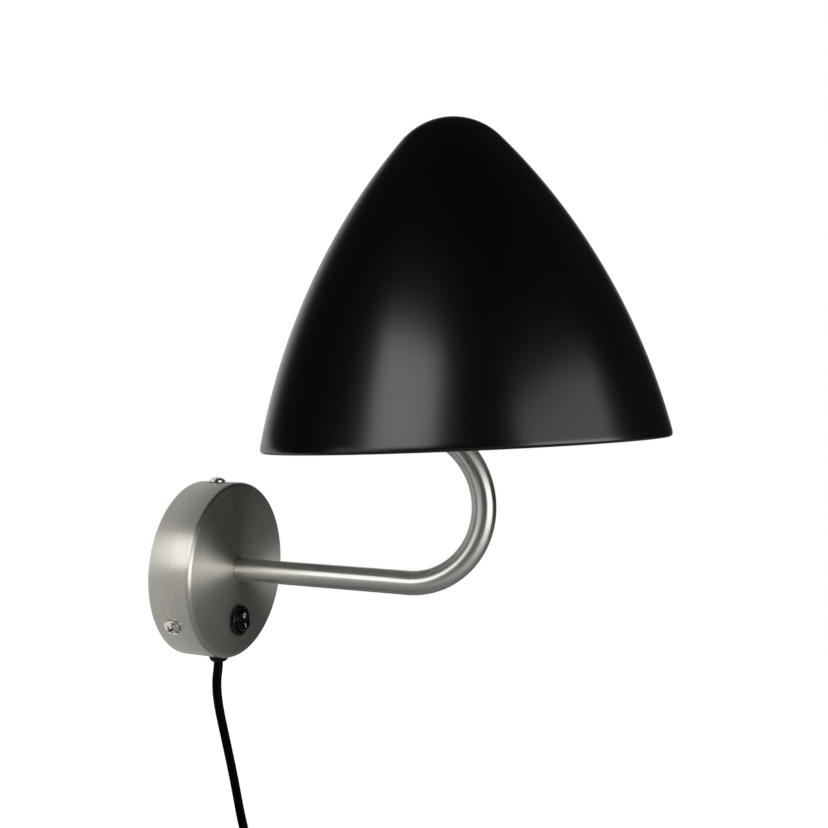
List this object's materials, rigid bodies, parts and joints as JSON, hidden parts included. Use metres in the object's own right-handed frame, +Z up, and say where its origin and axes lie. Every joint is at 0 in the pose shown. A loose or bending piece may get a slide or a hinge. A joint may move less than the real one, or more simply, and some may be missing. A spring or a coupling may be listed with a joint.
{
  "type": "wall lamp",
  "caption": "Plug-in wall lamp: round steel canopy with a rocker switch, bent steel arm and a tilting black bell shade over a small globe bulb.",
  "frame": {"origin": "middle of the wall plate's back face, on the wall", "axes": "+Z up, -Y out of the wall along the arm, +X to the right seen from the room"},
  "size_m": [0.2114, 0.267, 0.5382],
  "materials": {
    "brushed_steel": "satin",
    "zinc_steel": "satin",
    "nickel": "polished",
    "brass": "satin",
    "switch_black": "satin",
    "block_white": "matt",
    "holder_black": "matt",
    "cord_black": "satin",
    "lead_sheath": "satin",
    "shade_black": "satin matt",
    "opal_glass": "opal"
  },
  "bodies": {
    "lamp_base": {"canopy_cover": "brushed_steel", "arm_tube": "brushed_steel", "arm_end_plug": "brushed_steel", "arm_boss": "brushed_steel", "wall_plate": "zinc_steel", "arm_washer": "zinc_steel", "arm_nut": "zinc_steel", "arm_nipple": "zinc_steel", "swivel_nut": "zinc_steel", "friction_washer": "zinc_steel", "block_screw": "zinc_steel", "terminal_screws": "zinc_steel", "swivel_lower": "nickel", "swivel_screw": "nickel", "canopy_screws": "nickel", "plug_pins": "nickel", "switch_tabs": "brass", "terminal_sleeves": "brass", "switch_body": "switch_black", "terminal_block": "block_white", "strain_relief": "cord_black", "mains_cord": "cord_black", "cord_coil": "cord_black", "cord_tail": "cord_black", "coil_tie": "cord_black", "plug_body": "cord_black", "supply_leads": "lead_sheath", "switch_lead": "lead_sheath", "arm_leads": "lead_sheath"},
    "shade_head": {"swivel_upper": "nickel", "holder_nipple": "zinc_steel", "holder_nuts": "zinc_steel", "holder_base": "holder_black", "holder_body": "holder_black", "holder_insert": "block_white", "holder_shell": "brass", "holder_leads": "lead_sheath", "shade_rings": "holder_black", "shade_spider": "zinc_steel", "shade_shell": "shade_black", "bulb_cap": "nickel", "bulb_globe": "opal_glass"},
    "rocker": {"switch_rocker": "switch_black"}
  },
  "joints": [
    {"name": "shade_tilt", "type": "hinge", "parent": "lamp_base", "child": "shade_head", "pos_m": [0, -0.16014, 0.10154], "axis": [1, 0, 0], "range_deg": [-25, 25]},
    {"name": "switch_rock", "type": "hinge", "parent": "lamp_base", "child": "rocker", "pos_m": [0, -0.0262, -0.0296], "axis": [1, 0, 0], "range_deg": [0, 18]}
  ]
}
